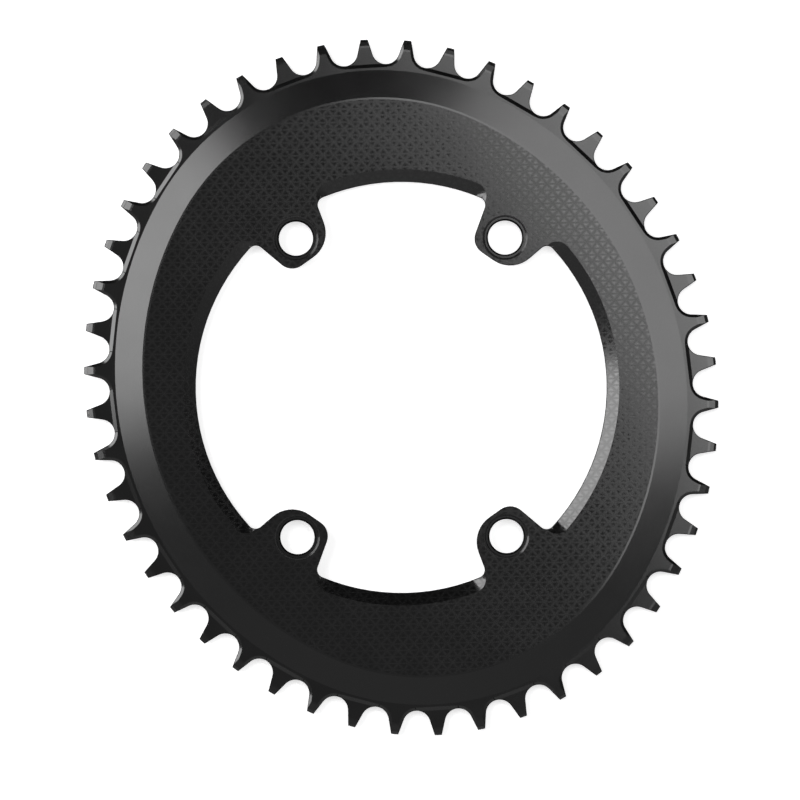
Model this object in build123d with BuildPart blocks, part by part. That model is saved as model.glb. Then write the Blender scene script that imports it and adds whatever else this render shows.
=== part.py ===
from build123d import *
from math import asin, atan2, cos, degrees, hypot, pi, radians, sin, sqrt, tan
import os

# An oval single chainring for a four-arm crank, machined from one aluminium plate.
# It lies on its back: z = 0 is the back of the tooth rim, +Z is the outer side,
# and the Z axis is the axis of the crank. All sizes are millimetres and degrees.

os.makedirs("parts", exist_ok=True)

# The chain that runs on the ring
chain_pitch = 12.7
tooth_count = 48

# The oval that the chain's rollers lie on: two end arcs and two side arcs, tangent to each other
end_arc_centre = 20.4  # from the middle, along the long axis
side_arc_centre = 18.5  # from the middle, along the short axis
long_axis_turn = 108.0  # from +X, counter-clockwise
first_seat_turn = 0.5

# A tooth, seen from the front
seat_radius = 4.17
flank_angle = 15.0
tooth_height = 3.55  # above the line through the two rollers beside it

# Rim and web
rim_thickness = 3.4  # also the thickness of a wide tooth
narrow_thickness = 1.9
web_thickness = 3.7
dish = 1.6  # how far the back of the web stands in from the back of the rim
dish_radius = 80.0  # it is turned, so it is round
shoulder_inset = 6.05  # roller oval to the foot of the sloping band
band_width = 8.55

# The step in front of a narrow tooth, and the chamfers of a wide one
step_run = 1.1
step_inset = 0.95  # how far inward of the tooth roots the step begins
flank_chamfer = 0.9

# Tooth tips: a steep bevel from the land down to a waist and a gentle one below it, or one bevel on the back
narrow_land = 0.5
narrow_waist = 1.3
narrow_steep = 0.75
narrow_gentle = 1.45
wide_land = 0.8
wide_waist = 2.3
wide_steep = 0.95
wide_gentle = 2.2
back_bevel = 1.65

# Bore, tabs and bolt holes
bore_radius = 62.04
bolt_circle = 110.0
bolt_spread = 70.0  # between the two bolts of the upper pair, and of the lower pair
bolt_hole_radius = 5.15
recess_radius = 6.2
recess_depth = 0.6
tab_tip_wall = 2.47  # between a bolt hole and the tab's tip
tab_lead_half = 9.13  # counter-clockwise half of a tab, across the bolt hole
tab_trail_half = 9.93
tab_flank_angle = 14.7
tab_lead_corner = 5.0
tab_trail_corner = 9.0
bore_corner = 2.4

# The bevel along the bore, as left by an angular cutter that stops short of each tab
bevel_width = 3.76
bevel_angle = 30.0
cutter_radius = 4.2
cutter_stop = 0.5

# How far a cutting tool stands past the surface that it enters or leaves
overrun = 0.5

chain_plane = rim_thickness / 2
face_height = dish + web_thickness
bolt_radius = bolt_circle / 2
tab_tip_radius = bolt_radius - bolt_hole_radius - tab_tip_wall
bolt_turns = [turn for side in (90, 270) for turn in (side - bolt_spread / 2, side + bolt_spread / 2)]
recess_floor = face_height - recess_depth
bolt_points = [Vector(bolt_radius, 0, recess_floor).rotate(Axis.Z, turn) for turn in bolt_turns]


def roller_oval_reach(turn, end_radius):
    """How far the roller oval is from the middle, in a direction given from its long axis in radians."""
    side_radius = end_radius + hypot(end_arc_centre, side_arc_centre)
    across, along = abs(sin(turn)), abs(cos(turn))
    stretch = end_radius / hypot(end_arc_centre, side_arc_centre)
    join_along = end_arc_centre * (1 + stretch)
    join_across = side_arc_centre * stretch
    if across * join_along < along * join_across:
        shift = end_arc_centre * along
        return shift + sqrt(shift**2 - end_arc_centre**2 + end_radius**2)
    shift = side_arc_centre * across
    return -shift + sqrt(shift**2 - side_arc_centre**2 + side_radius**2)


def roller_point(turn, end_radius):
    """The point of the roller oval in a direction from +X, in radians."""
    reach = roller_oval_reach(turn - radians(long_axis_turn), end_radius)
    return Vector(reach * cos(turn), reach * sin(turn))


def bisect(grows_past, low, high):
    """Where a condition that is false at low and true at high changes over."""
    for _ in range(40):
        middle = (low + high) / 2
        if grows_past(middle):
            high = middle
        else:
            low = middle
    return (low + high) / 2


def seat_turns(end_radius):
    """Directions of the rollers when each is one chain pitch, in a straight line, from the one before."""
    turns = [radians(first_seat_turn)]
    step = 2 * pi / tooth_count
    for _ in range(tooth_count):
        here = turns[-1]
        start = roller_point(here, end_radius)
        reached = bisect(
            lambda turn: (roller_point(turn, end_radius) - start).length > chain_pitch,
            here + step / 2,
            here + step * 2,
        )
        turns.append(reached)
    return turns


# The end arcs are as large as lets the last roller meet the first
round_radius = chain_pitch / (2 * sin(pi / tooth_count))
end_radius = bisect(
    lambda radius: seat_turns(radius)[-1] - radians(first_seat_turn) < 2 * pi,
    round_radius - end_arc_centre * 2,
    round_radius + side_arc_centre,
)
side_radius = end_radius + hypot(end_arc_centre, side_arc_centre)
seats = [roller_point(turn, end_radius) for turn in seat_turns(end_radius)[:-1]]


def tooth_plane(index):
    """A tooth's own plane: origin midway between its two rollers, Y out along the tooth, Z up."""
    start, end = seats[index % tooth_count], seats[(index + 1) % tooth_count]
    back_along_rim = (start - end).normalized()
    return Plane(origin=(start + end) / 2, x_dir=back_along_rim, z_dir=(0, 0, 1))


tooth_planes = [tooth_plane(index) for index in range(tooth_count)]
narrow_teeth = tooth_planes[0::2]
wide_teeth = tooth_planes[1::2]

# One tooth in its own plane: the flank leaves the seat where the seat's arc has its direction
half_pitch = chain_pitch / 2
foot_x = half_pitch - seat_radius * cos(radians(flank_angle))
foot_y = -seat_radius * sin(radians(flank_angle))
tip_x = foot_x - (tooth_height - foot_y) * tan(radians(flank_angle))


def oval(offset):
    """Four tangent arcs, this far outside the roller oval, long axis along X."""
    join = degrees(atan2(side_arc_centre, end_arc_centre))
    with BuildLine() as outline:
        CenterArc((end_arc_centre, 0), end_radius + offset, -join, 2 * join)
        CenterArc((0, -side_arc_centre), side_radius + offset, join, 180 - 2 * join)
        CenterArc((-end_arc_centre, 0), end_radius + offset, 180 - join, 2 * join)
        CenterArc((0, side_arc_centre), side_radius + offset, 180 + join, 180 - 2 * join)
    return outline.wire()


def oval_frustum(low_offset, low, high_offset, high):
    """A solid between two ovals, one at each height, that differ by a steady slope."""
    turned = Plane.XY.rotated((0, 0, long_axis_turn))
    with BuildPart() as frustum:
        with BuildSketch(turned.offset(low)):
            add(Face(oval(low_offset)))
        with BuildSketch(turned.offset(high)):
            add(Face(oval(high_offset)))
        loft(ruled=True)
    return frustum.part


def tooth_slice(points):
    """A cutter of the given section, height over reach along the tooth, as wide as one chain pitch."""
    with BuildPart() as cutter:
        with BuildSketch(Plane.YZ):
            with BuildLine():
                Polyline(*points, close=True)
            make_face()
        extrude(amount=half_pitch, both=True)
    return cutter.part


def tip_section(*corners):
    """The air over a tooth's tip. Corners are (down from the tip, thickness there), the land last."""
    line = [(tooth_height - down, chain_plane + thickness / 2) for down, thickness in corners]
    (start_y, start_z), (land_y, land_z) = line[-2:]
    beyond_z = land_z + overrun * (land_z - start_z) / (land_y - start_y)
    return line[:-1] + [(tooth_height + overrun, beyond_z), (tooth_height + overrun, rim_thickness + overrun)]


# Cutters in a tooth's own plane, all drawn for the front. A narrow tooth also has a step at its root
step_drop = (rim_thickness - narrow_thickness) / 2
step_start = -seat_radius - step_inset
step_rise = overrun * step_run / step_drop
step_section = [
    (step_start - step_rise, rim_thickness + overrun),
    (step_start + step_run, rim_thickness - step_drop),
]
narrow_bevels = [(narrow_steep + narrow_gentle, narrow_thickness), (narrow_steep, narrow_waist), (0, narrow_land)]
wide_bevels = [(wide_steep + wide_gentle, rim_thickness), (wide_steep, wide_waist), (0, wide_land)]
narrow_front_tip = tip_section(*narrow_bevels)
narrow_back_tip = tip_section((back_bevel, narrow_thickness), (0, narrow_land))
wide_front_tip = tip_section(*wide_bevels)
wide_back_tip = tip_section((back_bevel, rim_thickness), (0, wide_land))
narrow_front, narrow_back = (tooth_slice(step_section + tip) for tip in (narrow_front_tip, narrow_back_tip))
wide_front, wide_back = (tooth_slice(tip) for tip in (wide_front_tip, wide_back_tip))

# The chamfer of a wide tooth: a cone round each roller seat, then a plane up the flank
chamfer_slope = step_drop / step_run
chamfer_radius = seat_radius + flank_chamfer
with BuildPart() as flank_cutter:
    with Locations((half_pitch, 0, rim_thickness - step_drop)):
        Cone(
            chamfer_radius - step_run,
            chamfer_radius + step_rise,
            step_drop + overrun,
            align=(Align.CENTER, Align.CENTER, Align.MIN),
        )
    flank_plane = Plane(
        origin=(foot_x, foot_y, 0),
        x_dir=(-cos(radians(flank_angle)), -sin(radians(flank_angle)), 0),
        z_dir=(-sin(radians(flank_angle)), cos(radians(flank_angle)), 0),
    )
    with BuildSketch(flank_plane):
        with BuildLine():
            Polyline(
                (flank_chamfer + step_rise, rim_thickness + overrun),
                (-overrun, rim_thickness + overrun),
                (-overrun, rim_thickness - (flank_chamfer + overrun) * chamfer_slope),
                close=True,
            )
        make_face()
    extrude(amount=(tooth_height - foot_y) / cos(radians(flank_angle)) + overrun)

flank_cutters = [flank_cutter.part, flank_cutter.part.mirror(Plane.YZ)]


def placed(front_cutters, back_cutters, planes):
    """Cutters at each tooth plane. Those for the back are mirrored in the middle of the rim's thickness."""
    mirrored = [cutter.mirror(Plane.XY.offset(chain_plane)) for cutter in back_cutters]
    return [plane.location * cutter for plane in planes for cutter in [*front_cutters, *mirrored]]


tooth_cutters = placed([narrow_front], [narrow_back], narrow_teeth)
tooth_cutters += placed([wide_front, *flank_cutters], [wide_back, *flank_cutters], wide_teeth)

# Tooth outline: seat arc, flank, tip, flank, round the whole ring
with BuildSketch() as toothed_outline:
    with BuildLine():
        for index, plane in enumerate(tooth_planes):
            following = tooth_planes[(index + 1) % tooth_count]
            half_tooth = [(foot_x, foot_y), (tip_x, tooth_height)]
            whole_tooth = half_tooth + [(-x, y) for x, y in reversed(half_tooth)]
            Polyline(*[plane.from_local_coords(point) for point in whole_tooth])
            next_foot = following.from_local_coords((foot_x, foot_y))
            seat = seats[(index + 1) % tooth_count]
            seat_bottom = seat - seat.normalized() * seat_radius
            ThreePointArc(plane.from_local_coords((-foot_x, foot_y)), seat_bottom, next_foot)
    make_face()

# One tab, which points inward along -X from beyond the bore, with its two uneven corners
with BuildSketch() as tab:
    outer = bore_radius + bevel_width
    lean = tan(radians(tab_flank_angle))
    with BuildLine():
        Polyline(
            (outer, -tab_trail_half - (outer - bolt_radius) * lean),
            (tab_tip_radius, -tab_trail_half + (bolt_radius - tab_tip_radius) * lean),
            (tab_tip_radius, tab_lead_half - (bolt_radius - tab_tip_radius) * lean),
            (outer, tab_lead_half + (outer - bolt_radius) * lean),
            close=True,
        )
    make_face()
    # On a short tab, the tip's corners leave room on its flanks for the corners at the bore
    flank_room = (bore_radius - tab_tip_radius) * sqrt(1 + lean**2) - 1.5 * bore_corner
    largest_corner = flank_room / tan(radians(90 - tab_flank_angle) / 2)
    trail_tip = tab.vertices().sort_by(Axis.X)[:2].sort_by(Axis.Y)[0]
    fillet(trail_tip, radius=min(tab_trail_corner, largest_corner))
    lead_tip = tab.vertices().sort_by(Axis.X)[:2].sort_by(Axis.Y)[-1]
    fillet(lead_tip, radius=min(tab_lead_corner, largest_corner))

with BuildSketch() as bore_opening:
    Circle(bore_radius)
    for turn in bolt_turns:
        add(tab.sketch.rotate(Axis.Z, turn), mode=Mode.SUBTRACT)
    corners = bore_opening.vertices()
    at_bore = [corner for corner in corners if abs(Vector(corner).length - bore_radius) < 0.001]
    fillet(at_bore, radius=bore_corner)

# Where the bevel cutter's centre stops, from the line of the tab that it comes up to
cutter_path = bore_radius + bevel_width - cutter_radius
cutter_depth = cutter_radius * tan(radians(bevel_angle))


def stop_turn(tab_half):
    """How far round from a tab's own line the cutter's centre stops, in degrees."""
    lean = radians(tab_flank_angle)
    aside = cutter_radius + cutter_stop + tab_half * cos(lean) - bolt_radius * sin(lean)
    return tab_flank_angle + degrees(asin(aside / cutter_path))


bevel_gaps = [
    (turn + stop_turn(tab_lead_half), following - stop_turn(tab_trail_half))
    for turn, following in zip(bolt_turns, bolt_turns[1:] + [bolt_turns[0] + 360])
]

# The bevel cutter, standing on its tip, and the groove it would leave on its way from tab to tab
flare = cutter_radius + overrun / tan(radians(bevel_angle))
with BuildPart() as bevel_end:
    with Locations((cutter_path, 0, face_height - cutter_depth)):
        Cone(0, flare, cutter_depth + overrun, align=(Align.CENTER, Align.CENTER, Align.MIN))


def bevel_groove(start, end):
    """The cutter's path between two directions from +X."""
    with BuildPart() as groove:
        with BuildSketch(Plane.XZ.rotated((0, 0, start))):
            with BuildLine():
                Polyline(
                    (cutter_path, face_height - cutter_depth),
                    (cutter_path + flare, face_height + overrun),
                    (cutter_path - flare, face_height + overrun),
                    close=True,
                )
            make_face()
        revolve(axis=Axis.Z, revolution_arc=end - start)
    return groove.part


bevel_cutters = []
for start, end in bevel_gaps:
    bevel_ends = [bevel_end.part.rotate(Axis.Z, turn) for turn in (start, end)]
    bevel_cutters += [bevel_groove(start, end), *bevel_ends]

with BuildPart() as chainring:
    # Rim with its full-thickness teeth, raised to the outer face by the sloping band
    with BuildSketch():
        add(toothed_outline.sketch)
    extrude(amount=rim_thickness)
    face_inset = shoulder_inset + band_width
    add(oval_frustum(-shoulder_inset, rim_thickness, -face_inset, face_height))
    # Back of the web, turned down inside the rim
    Cylinder(dish_radius, dish, align=(Align.CENTER, Align.CENTER, Align.MIN), mode=Mode.SUBTRACT)
    # Bore, leaving the four tabs
    with BuildSketch(Plane.XY.offset(-overrun)):
        add(bore_opening.sketch)
    extrude(amount=face_height + 2 * overrun, mode=Mode.SUBTRACT)
    # Bolt holes, each with a shallow recess for the bolt's head
    with Locations(*bolt_points):
        Hole(bolt_hole_radius)
        Cone(
            recess_radius,
            recess_radius + recess_depth + overrun,
            recess_depth + overrun,
            align=(Align.CENTER, Align.CENTER, Align.MIN),
            mode=Mode.SUBTRACT,
        )
    add(tooth_cutters, mode=Mode.SUBTRACT)
    add(bevel_cutters, mode=Mode.SUBTRACT)

chainring.part.label = "chainring"
export_step(chainring.part, "parts/chainring.step")
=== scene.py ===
# %% [markdown]
# An oval bicycle chainring, milled from one aluminium plate, blasted matt and anodised black.
# The ring lies on its back with its outer side up, and the camera looks straight down on it.
# The solid model is loaded first. It fixes every size and place, in metres, and nothing below moves it.

from math import cos, hypot, pi, radians, sin

import bmesh
import bpy
import numpy as np
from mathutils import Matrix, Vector


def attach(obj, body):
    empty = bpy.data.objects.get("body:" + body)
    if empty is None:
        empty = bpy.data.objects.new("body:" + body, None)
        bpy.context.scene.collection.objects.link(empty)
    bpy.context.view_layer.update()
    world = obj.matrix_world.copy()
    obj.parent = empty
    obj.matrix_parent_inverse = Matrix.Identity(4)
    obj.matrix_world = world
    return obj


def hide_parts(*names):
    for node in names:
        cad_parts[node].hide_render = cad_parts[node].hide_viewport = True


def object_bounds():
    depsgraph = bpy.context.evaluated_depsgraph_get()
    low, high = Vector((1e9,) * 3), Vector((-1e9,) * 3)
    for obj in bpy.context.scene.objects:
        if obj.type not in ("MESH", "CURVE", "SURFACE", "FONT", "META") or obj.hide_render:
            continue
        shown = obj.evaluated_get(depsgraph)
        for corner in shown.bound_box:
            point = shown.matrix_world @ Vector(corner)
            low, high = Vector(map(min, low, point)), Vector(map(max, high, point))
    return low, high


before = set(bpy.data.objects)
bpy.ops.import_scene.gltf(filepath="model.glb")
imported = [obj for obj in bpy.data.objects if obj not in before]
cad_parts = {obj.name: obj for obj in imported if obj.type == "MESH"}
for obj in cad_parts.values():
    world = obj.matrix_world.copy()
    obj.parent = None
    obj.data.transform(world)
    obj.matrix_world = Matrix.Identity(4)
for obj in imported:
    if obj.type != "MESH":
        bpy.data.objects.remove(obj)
cad_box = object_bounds()
print("solid box", cad_box)

# %% [markdown]
# The loaded mesh is what a mesher makes of the solid: flat triangles, with the points doubled wherever
# two faces of the solid meet. A real milled edge is never that sharp. The ring is tumbled and blasted after
# milling, which leaves a small chamfer where a face ends at an upright wall. The bolt holes have a wider one,
# and where the level face rolls over into the sloping band there is a wide but faint one.
# The chamfers could be part of the solid, but a step of their own here spares the solid many small faces.
# The doubled points are a help: they tell true edges from the seams between the facets of one round face.
# So a copy is welded, and each welded edge that was open before, and that bends, is a true edge.
# Its weight is its chamfer's width in millimetres.

# %% Weld a copy and weigh its true edges
MM = 0.001
WELD = 0.0005 * MM
SEAM_ANGLE = radians(5)  # faces that meet at less than this run smoothly into each other
FLAT_ANGLE = radians(0.05)
BAND_ANGLE = radians(15)
LEVEL = 0.999  # the upward part of a level face's normal
UPRIGHT = 0.05  # and the most that a wall's has
RECESS_FLOOR = 4.7 * MM  # height at which the bolt holes open
WALL_EDGE, HOLE_EDGE, BAND_EDGE = 0.20, 0.50, 0.30


def chamfer_width(edge):
    """The chamfer of a true edge by what meets there, in mm.

    Inner corners, and walls that meet, have none."""
    upward = [abs(face.normal.z) for face in edge.link_faces]
    if not edge.is_convex or max(upward) < UPRIGHT:
        return 0.0
    if min(upward) < UPRIGHT:
        return HOLE_EDGE if abs(edge.verts[0].co.z - RECESS_FLOOR) < WELD else WALL_EDGE
    return BAND_EDGE if edge.calc_face_angle() < BAND_ANGLE and max(upward) > LEVEL else 0.0


def welded_copy(source, name):
    """A copy of a mesh with doubled points merged, and with the chamfers' widths as its edges' weights."""
    mesh = source.data.copy()
    mesh.name = name
    shape = bmesh.new()
    shape.from_mesh(mesh)
    weight = shape.edges.layers.float.new("bevel_weight_edge")
    for edge in shape.edges:
        edge[weight] = 1.0 if edge.is_boundary else 0.0
    bmesh.ops.remove_doubles(shape, verts=shape.verts, dist=WELD)
    for edge in shape.edges:
        true_edge = edge[weight] > 0 and edge.calc_face_angle(0.0) > SEAM_ANGLE
        edge[weight] = chamfer_width(edge) if true_edge else 0.0
        edge.smooth = not true_edge
    # Coplanar triangles are joined, which leaves clean faces for the chamfers to run along
    bmesh.ops.dissolve_limit(
        shape, angle_limit=FLAT_ANGLE, verts=shape.verts, edges=shape.edges, delimit={"SHARP"}
    )
    open_edges = sum(not edge.is_manifold for edge in shape.edges)
    shape.to_mesh(mesh)
    shape.free()
    # The normals that came with the file belong to the old points
    if "custom_normal" in mesh.attributes:
        mesh.attributes.remove(mesh.attributes["custom_normal"])
    print(name, "faces", len(mesh.polygons), "open edges", open_edges)
    return mesh


welded = welded_copy(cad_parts["chainring"], "welded")

# %% [markdown]
# A bevel modifier cuts the chamfers, and its result is kept as a plain mesh. Its clamp is off, because it would
# shrink every chamfer to suit the shortest edge of the whole ring. The modifier gives its new faces a material
# number of their own, so they can be told from the old ones. Each edge where a chamfer begins is a crease, and
# so is each true edge without a chamfer. Chamfers that meet have a crease only where they turn sharply.
# Everything else is a round surface and is shaded smooth.

# %% Cut the chamfers
CREASE_ANGLE = radians(30)


def chamfered(mesh, name):
    """An object with a chamfer along each weighted edge of the mesh, shaded smooth between creases."""
    made = bpy.data.objects.new(name, mesh)
    bpy.context.scene.collection.objects.link(made)
    for part in ("body", "chamfer"):
        mesh.materials.append(bpy.data.materials.new(part))
    bevel = made.modifiers.new("tumbled edges", "BEVEL")
    bevel.limit_method = "WEIGHT"
    bevel.offset_type = "OFFSET"
    bevel.width = MM
    bevel.segments = 1
    bevel.use_clamp_overlap = False
    bevel.miter_outer = "MITER_SHARP"
    bevel.material = 1
    evaluated = made.evaluated_get(bpy.context.evaluated_depsgraph_get())
    result = bpy.data.meshes.new_from_object(evaluated)
    made.modifiers.clear()
    made.data = result
    result.name = name
    shape = bmesh.new()
    shape.from_mesh(result)
    for edge in shape.edges:
        chamfers = sum(face.material_index for face in edge.link_faces)
        if chamfers == 1 or (chamfers == 2 and edge.calc_face_angle() > CREASE_ANGLE):
            edge.smooth = False
    for face in shape.faces:
        face.smooth = True
    area = sum(face.calc_area() for face in shape.faces if face.material_index == 1)
    shape.to_mesh(result)
    shape.free()
    print(name, "faces", len(result.polygons), "area of the chamfers", round(area / MM**2), "square mm")
    return made


ring = chamfered(welded, "ring")

# %% [markdown]
# The outer face and the bevel along the bore carry a fine pattern of triangles, pressed in before the teeth
# and the sloping band were cut, so the band and the teeth are plain. The upright walls come last, from
# a cutter's side, and they and the chamfers beside them are left rough and dull. The cones of the bolt
# recesses are turned, and they shine as the faces do.
# All of these can be told by height and slope, so each face keeps two numbers, which the finish reads.
# The material numbers have done their work then, and go.

# %% Mark the patterned and the dull faces
FULL_HEIGHT = cad_box[1][2]
HEIGHT_MARGIN = 0.01 * MM
BEVEL_SLOPE = radians(30)
SLOPE_MARGIN = radians(2)
DULL_UPWARD = 0.75  # chamfers beside a wall lean more than this, bevels less


def face_numbers(mesh):
    """Two arrays of 0 or 1: patterned = level at full height or on the bore's bevel; dull = near upright.

    The recesses' cones are what slopes above the recess floor and isn't a chamfer, and they aren't dull."""
    count = len(mesh.polygons)
    centres, normals, is_chamfer = np.empty(3 * count), np.empty(3 * count), np.empty(count, "i")
    mesh.polygons.foreach_get("center", centres)
    mesh.polygons.foreach_get("normal", normals)
    mesh.polygons.foreach_get("material_index", is_chamfer)
    heights, upward = centres[2::3], normals[2::3]
    level = (heights > FULL_HEIGHT - HEIGHT_MARGIN) & (upward > cos(SLOPE_MARGIN))
    steepest, flattest = cos(BEVEL_SLOPE + SLOPE_MARGIN), cos(BEVEL_SLOPE - SLOPE_MARGIN)
    bore_bevel = (upward > steepest) & (upward < flattest)
    cone = (heights > RECESS_FLOOR) & (upward > UPRIGHT) & (is_chamfer == 0)
    near_upright = (abs(upward) < DULL_UPWARD) & ~cone
    return (level | bore_bevel).astype(float), near_upright.astype(float)


for name, values in zip(("patterned", "dull"), face_numbers(ring.data)):
    ring.data.attributes.new(name, "FLOAT", "FACE").data.foreach_set("value", values)
    print(name, "faces", int(values.sum()), "of", len(values))
ring.data.materials.clear()

# %% [markdown]
# A finish is a small graph of nodes. A few helpers keep it readable: each makes a node, joins it to what
# it reads, and gives back its output. What they read is a number or another node's output.

# %% Helpers for nodes
def node(tree, kind, **settings):
    """A node with some of its properties set."""
    made = tree.nodes.new(kind)
    for key, value in settings.items():
        setattr(made, key, value)
    return made


def put(tree, value, socket):
    """A number is written on the socket, and another node's output is joined to it."""
    if isinstance(value, bpy.types.NodeSocket):
        tree.links.new(value, socket)
    else:
        socket.default_value = value


def calculate(tree, operation, first, second):
    """A sum, a product or the like of two values."""
    made = node(tree, "ShaderNodeMath", operation=operation)
    put(tree, first, made.inputs[0])
    put(tree, second, made.inputs[1])
    return made.outputs[0]


def remap(tree, value, start, end, low, high):
    """A value from start to end becomes low to high, on a smooth step, and stays within them."""
    made = node(tree, "ShaderNodeMapRange", interpolation_type="SMOOTHSTEP")
    sockets = ("Value", "From Min", "From Max", "To Min", "To Max")
    for socket, number in zip(sockets, (value, start, end, low, high)):
        put(tree, number, made.inputs[socket])
    return made.outputs["Result"]


def blend(tree, share, low, high):
    """Low where the share is 0 and high where it is 1: low plus the share times the way to high."""
    made = node(tree, "ShaderNodeMix", data_type="FLOAT")
    for socket, value in zip(("Factor", "A", "B"), (share, low, high)):
        put(tree, value, made.inputs[socket])
    return made.outputs["Result"]


def noise(tree, place, size):
    """Soft random patches of about the given size."""
    made = node(tree, "ShaderNodeTexNoise")
    tree.links.new(place, made.inputs["Vector"])
    made.inputs["Scale"].default_value = 1 / size
    return made.outputs["Fac"]


# %% [markdown]
# The pattern is three families of parallel lines that cross in common points. It could be pressed into
# the mesh, but its lines are a few thousandths of a millimetre high, so it is worked out in the finish instead,
# from the place on the ring.
# A line is where the distance along its family's normal, counted in line spacings, is a whole number, so
# a ping-pong between 0 and a half gives how far the nearest line is. The least of the three distances tells
# a line from a triangle's middle. The lines are broad and soft, so only a small spot is left in the middle
# of each triangle, and in random patches the whole pattern is fainter.

# %% The pattern of triangles
SIDE = 3.29  # of a triangle, along its row, in mm
ROW = 1.97  # from row to row
HALF_SPACING = 0.5
FLAT_LINE_HALF, SLANTED_LINE_HALF = 0.55, 0.85  # half of a line with its soft sides
PATTERN_TURN = radians(0.8)
PATTERN_START = (2.4 * MM, 1.5 * MM, 0)  # where three lines cross
LINE_SHARE = 0.7  # what the pattern evens out to where it is faint
PATCH = 1.6 * MM
PATCH_FROM, PATCH_TO = 0.35, 0.65  # of the noise
FAINTEST = 0.6


def triangle_lines(tree, place):
    """1 on a line and 0 in the middle of a triangle; the level lines are the narrower ones."""
    nearest = None
    families = (
        (0, 1 / ROW, FLAT_LINE_HALF),
        (1 / SIDE, HALF_SPACING / ROW, SLANTED_LINE_HALF),
        (1 / SIDE, -HALF_SPACING / ROW, SLANTED_LINE_HALF),
    )
    for across, up, half in families:
        spacing = 1 / hypot(across, up)
        count = node(tree, "ShaderNodeVectorMath", operation="DOT_PRODUCT")
        tree.links.new(place, count.inputs[0])
        count.inputs[1].default_value = (across, up, 0)
        to_line = calculate(tree, "PINGPONG", count.outputs["Value"], HALF_SPACING)
        distance = calculate(tree, "MULTIPLY", to_line, spacing / half)
        nearest = distance if nearest is None else calculate(tree, "MINIMUM", nearest, distance)
    return remap(tree, nearest, 0, 1, 1, 0)


def pattern(tree, place):
    """The lines in their place on the ring, evened out a little in patches."""
    turned = node(tree, "ShaderNodeMapping", vector_type="TEXTURE")
    tree.links.new(place, turned.inputs["Vector"])
    turned.inputs["Location"].default_value = PATTERN_START
    turned.inputs["Rotation"].default_value = (0, 0, PATTERN_TURN)
    turned.inputs["Scale"].default_value = (MM, MM, MM)
    clear = remap(tree, noise(tree, place, PATCH), PATCH_FROM, PATCH_TO, FAINTEST, 1)
    return blend(tree, clear, LINE_SHARE, triangle_lines(tree, turned.outputs[0]))


print("triangles with sides of", SIDE, "and twice", round(hypot(SIDE / 2, ROW), 2), "mm")

# %% [markdown]
# Black anodising is a clear, hard layer of aluminium oxide that holds black dye. It reflects like the oxide,
# whose refractive index is 1.76, and almost nothing comes back from below it. So the finish is nearly black
# under a rather strong reflection, which the blasting before the dye has blurred. The dye takes a little
# unevenly, in clouds a centimetre wide.
# The pattern could be drawn in two greys, but then it would show just as much from every side. On the real ring
# it shows by gloss: the lines are rougher than the spots between them. Where the face mirrors a dark part of
# the room, a rough line still catches some light of the lamps, and a smooth spot stays dark. Where it mirrors
# a lamp, the two nearly even out.
# Walls and their chamfers come out almost black, so both their gloss and their level of reflection are low.
# That level differs over the surface, so it is joined to its socket, and not written on it.

# %% Anodised finish
OXIDE_IOR = 1.76
DYE, THIN_DYE = 0.0008, 0.0014  # what comes back from below the oxide
DYE_BLUE = 1.05  # blue against red and green
CLOUD = 12 * MM
CLOUD_FROM, CLOUD_TO = 0.3, 0.7  # of the noise
CLOUD_ROUGHNESS = 0.01
BLASTED_ROUGHNESS, DULL_ROUGHNESS = 0.21, 0.45
SPOT_SMOOTHER, LINE_ROUGHER = 0.10, 0.045
SPOT_LEVEL, LINE_LEVEL, PLAIN_LEVEL, DULL_LEVEL = 0.58, 0.45, 0.50, 0.03
GRAIN = 0.7 * MM
GRAIN_HEIGHT, PATTERN_GRAIN_HEIGHT = 0.0008 * MM, 0.006 * MM
LINE_HEIGHT = 0.003 * MM


def dye_colour(tree, clouds):
    """Almost black, and a little paler where the dye is thin."""
    made = node(tree, "ShaderNodeMix", data_type="RGBA")
    tree.links.new(clouds, made.inputs[0])
    for side, grey in (("A", DYE), ("B", THIN_DYE)):
        made.inputs[side].default_value = (grey, grey, DYE_BLUE * grey, 1)
    return made.outputs["Result"]


def roughness(tree, clouds, line, patterned, dull):
    """The blasting's roughness, a bit uneven; less in the pattern's spots and more on its lines; dull walls."""
    low, high = BLASTED_ROUGHNESS - CLOUD_ROUGHNESS, BLASTED_ROUGHNESS + CLOUD_ROUGHNESS
    blasted = remap(tree, clouds, CLOUD_FROM, CLOUD_TO, low, high)
    change = calculate(tree, "MULTIPLY", blend(tree, line, -SPOT_SMOOTHER, LINE_ROUGHER), patterned)
    return blend(tree, dull, calculate(tree, "ADD", blasted, change), DULL_ROUGHNESS)


def reflection_level(tree, line, patterned, dull):
    """How strongly it reflects, where a half is what its refractive index gives."""
    level = blend(tree, patterned, PLAIN_LEVEL, blend(tree, line, SPOT_LEVEL, LINE_LEVEL))
    return blend(tree, dull, level, DULL_LEVEL)


def surface_height(tree, place, line, patterned):
    """Grain, coarser on the patterned faces, plus the height of the pattern's lines there."""
    grain_size = blend(tree, patterned, GRAIN_HEIGHT, PATTERN_GRAIN_HEIGHT)
    grain = calculate(tree, "MULTIPLY", noise(tree, place, GRAIN), grain_size)
    raised = calculate(tree, "MULTIPLY", line, patterned)
    return calculate(tree, "ADD", grain, calculate(tree, "MULTIPLY", raised, LINE_HEIGHT))


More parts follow.
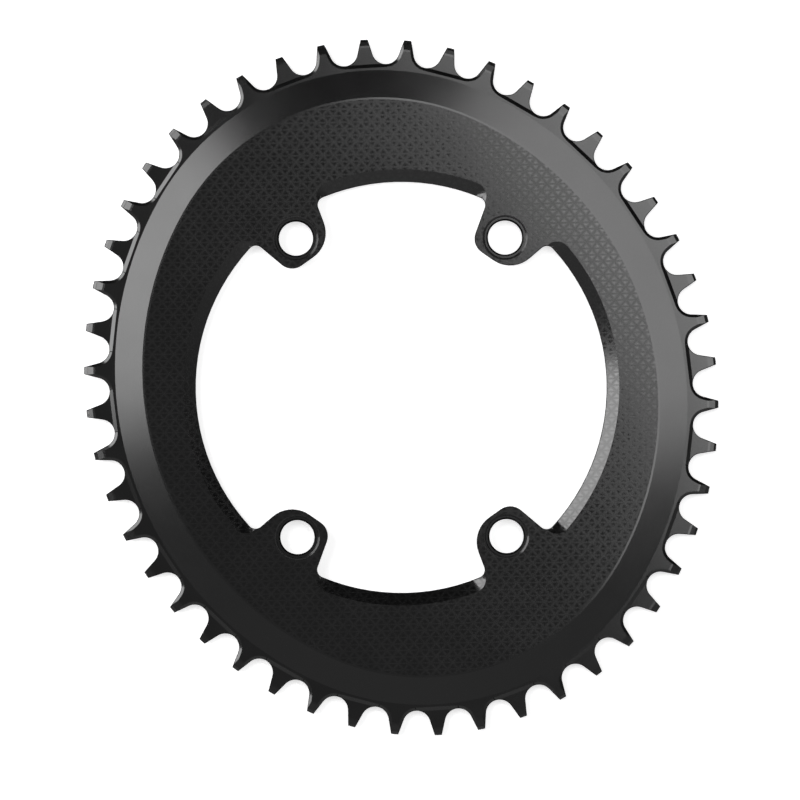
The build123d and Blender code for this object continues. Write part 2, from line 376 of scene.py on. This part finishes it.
def anodised_black():
    """The ring's finish: dye, roughness, level of reflection and bump on one shader."""
    material = bpy.data.materials.new("black_anodised")
    material.use_nodes = True
    tree = material.node_tree
    shader = tree.nodes["Principled BSDF"]
    shader.inputs["IOR"].default_value = OXIDE_IOR
    place = node(tree, "ShaderNodeTexCoord").outputs["Object"]
    patterned = node(tree, "ShaderNodeAttribute", attribute_name="patterned").outputs["Fac"]
    dull = node(tree, "ShaderNodeAttribute", attribute_name="dull").outputs["Fac"]
    line = pattern(tree, place)
    clouds = noise(tree, place, CLOUD)
    bump = node(tree, "ShaderNodeBump")
    bump.inputs["Distance"].default_value = 1
    tree.links.new(surface_height(tree, place, line, patterned), bump.inputs["Height"])
    results = {
        "Base Color": dye_colour(tree, clouds),
        "Roughness": roughness(tree, clouds, line, patterned, dull),
        "Specular IOR Level": reflection_level(tree, line, patterned, dull),
        "Normal": bump.outputs["Normal"],
    }
    for socket, result in results.items():
        tree.links.new(result, shader.inputs[socket])
    print(material.name, "nodes", len(tree.nodes))
    return material


ring.data.materials.append(anodised_black())
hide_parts("chainring")
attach(ring, "root")

# %% [markdown]
# The ring lies on a wide white floor. The floor is matt and lit like everything else, so it keeps the ring's
# shadow, and a steady glow for the camera and for reflections brings it up to the clean white of a product
# picture. More light could do that too, but it would wash out the ring. The glow lights nothing else.

# %% White floor
FLOOR_HALF = 3.0
FLOOR_DROP = 0.1 * MM  # below the ring's back, so the two never lie in one plane
FLOOR_GREY = 0.9
FLOOR_GLOW = 0.6


def floor_white():
    """White and matt, with a glow that only the camera, reflections and clear things see."""
    material = bpy.data.materials.new("floor_white")
    material.use_nodes = True
    tree = material.node_tree
    shader = tree.nodes["Principled BSDF"]
    shader.inputs["Base Color"].default_value = (FLOOR_GREY, FLOOR_GREY, FLOOR_GREY, 1)
    shader.inputs["Roughness"].default_value = 1.0
    shader.inputs["Specular IOR Level"].default_value = 0.0
    shader.inputs["Emission Color"].default_value = (1, 1, 1, 1)
    ray = node(tree, "ShaderNodeLightPath").outputs
    seen = calculate(tree, "MAXIMUM", ray["Is Camera Ray"], ray["Is Glossy Ray"])
    seen = calculate(tree, "MAXIMUM", seen, ray["Is Transmission Ray"])
    tree.links.new(calculate(tree, "MULTIPLY", seen, FLOOR_GLOW), shader.inputs["Emission Strength"])
    return material


corners = FLOOR_HALF * np.array([(-1, -1), (1, -1), (1, 1), (-1, 1)])
floor_mesh = bpy.data.meshes.new("floor")
floor_mesh.from_pydata([(x, y, -FLOOR_DROP) for x, y in corners], [], [(0, 1, 2, 3)])
floor = bpy.data.objects.new("floor", floor_mesh)
bpy.context.scene.collection.objects.link(floor)
floor.data.materials.append(floor_white())
print("floor", 2 * FLOOR_HALF, "m wide")

# %% [markdown]
# A black shiny thing shows its surroundings, not its own colour, so the room matters as much as the finish.
# It is dark, brighter low in front than at the back, and white at the horizon, where the floor ends.
# The Y part of a direction tells front from back, and the Z part tells how high it points.

# %% The room
HORIZON, HORIZON_END = 0.03, 0.08
FRONT_GLOW, BACK_GLOW = 0.33, 0.03
FRONT_FULL, BACK_DARK = -0.93, 0.49

world = bpy.data.worlds.new("studio")
bpy.context.scene.world = world
world.use_nodes = True
room = world.node_tree
direction = node(room, "ShaderNodeSeparateXYZ")
room.links.new(node(room, "ShaderNodeTexCoord").outputs["Generated"], direction.inputs[0])
front = remap(room, direction.outputs["Y"], FRONT_FULL, BACK_DARK, FRONT_GLOW, BACK_GLOW)
horizon = remap(room, direction.outputs["Z"], HORIZON, HORIZON_END, 1, 0)
room.links.new(calculate(room, "MAXIMUM", front, horizon), room.nodes["Background"].inputs["Color"])
print("room glow", FRONT_GLOW, "in front,", BACK_GLOW, "at the back")

# %% [markdown]
# Each slope of the ring mirrors its own part of the room, at twice the slope from straight up. The sloping
# band mirrors a circle 23 degrees off, the bevel along the bore one 60 degrees off, and the level face what is
# right above it. So each lamp is a flat softbox, placed by the direction in which it has to show.
# One hangs almost level above the upper right. The right half of the band mirrors it, and it spills a soft
# gradient over the level face. The other is a tall panel that stands almost upright on the left. The left of
# the band mirrors its upper edge, the bevel on the right side of the bore mirrors its middle, and the recesses
# of the bolt holes its lower part.
# A softbox's power is pi times its area times its brightness. Brightness is what the camera would see
# of the lamp itself, where 1 is white.

# %% Softboxes
# Azimuth from +X and angle off straight up in degrees, sizes in metres, tilt of the panel from level
LAMPS = {
    "upper_right": dict(
        azimuth=31, off_axis=27.4, distance=0.54, width=0.43, height=0.35, tilt=5, brightness=2.5
    ),
    "left_panel": dict(
        azimuth=159.5, off_axis=46.5, distance=0.74, width=0.57, height=0.99, tilt=82, brightness=3.9
    ),
}


def softbox(name, azimuth, off_axis, distance, width, height, tilt, brightness):
    """A flat lamp that the camera doesn't see, level from side to side, in the given direction."""
    lamp = bpy.data.lights.new(name, "AREA")
    lamp.shape = "RECTANGLE"
    lamp.size, lamp.size_y = height, width
    lamp.energy = pi * width * height * brightness
    holder = bpy.data.objects.new(name, lamp)
    turn, lean = radians(azimuth), radians(off_axis)
    holder.location = distance * Vector((sin(lean) * cos(turn), sin(lean) * sin(turn), cos(lean)))
    holder.rotation_euler = (0, radians(tilt), turn)
    holder.visible_camera = False
    bpy.context.scene.collection.objects.link(holder)
    print(name, "power", round(lamp.energy, 2), "W")


for name, settings in LAMPS.items():
    softbox(name, **settings)

# %% [markdown]
# The camera stands high above the ring with a long lens, so the ring shows almost as in a drawing, with hardly
# any perspective. A parallel camera would come out the same, but a long lens is what a photographer would take.
# It is turned a third of a degree, and its width of view is set half-way up the ring.

# %% Camera
VIEW_WIDTH = 241.536 * MM
VIEW_CENTRE = (-0.385 * MM, -3.803 * MM)
VIEW_TURN = radians(-0.29)
CAMERA_HEIGHT = 2.5
SENSOR = 36.0
FARTHEST = 20
camera_data = bpy.data.cameras.new("camera")
camera_data.sensor_width = SENSOR
camera_data.lens = SENSOR * (CAMERA_HEIGHT - FULL_HEIGHT / 2) / VIEW_WIDTH
camera_data.clip_end = FARTHEST
camera = bpy.data.objects.new("camera", camera_data)
camera.location = (*VIEW_CENTRE, CAMERA_HEIGHT)
camera.rotation_euler = (0, 0, VIEW_TURN)
bpy.context.scene.collection.objects.link(camera)
bpy.context.scene.camera = camera
bpy.context.scene.view_settings.view_transform = "Standard"
print("lens", round(camera_data.lens), "mm")
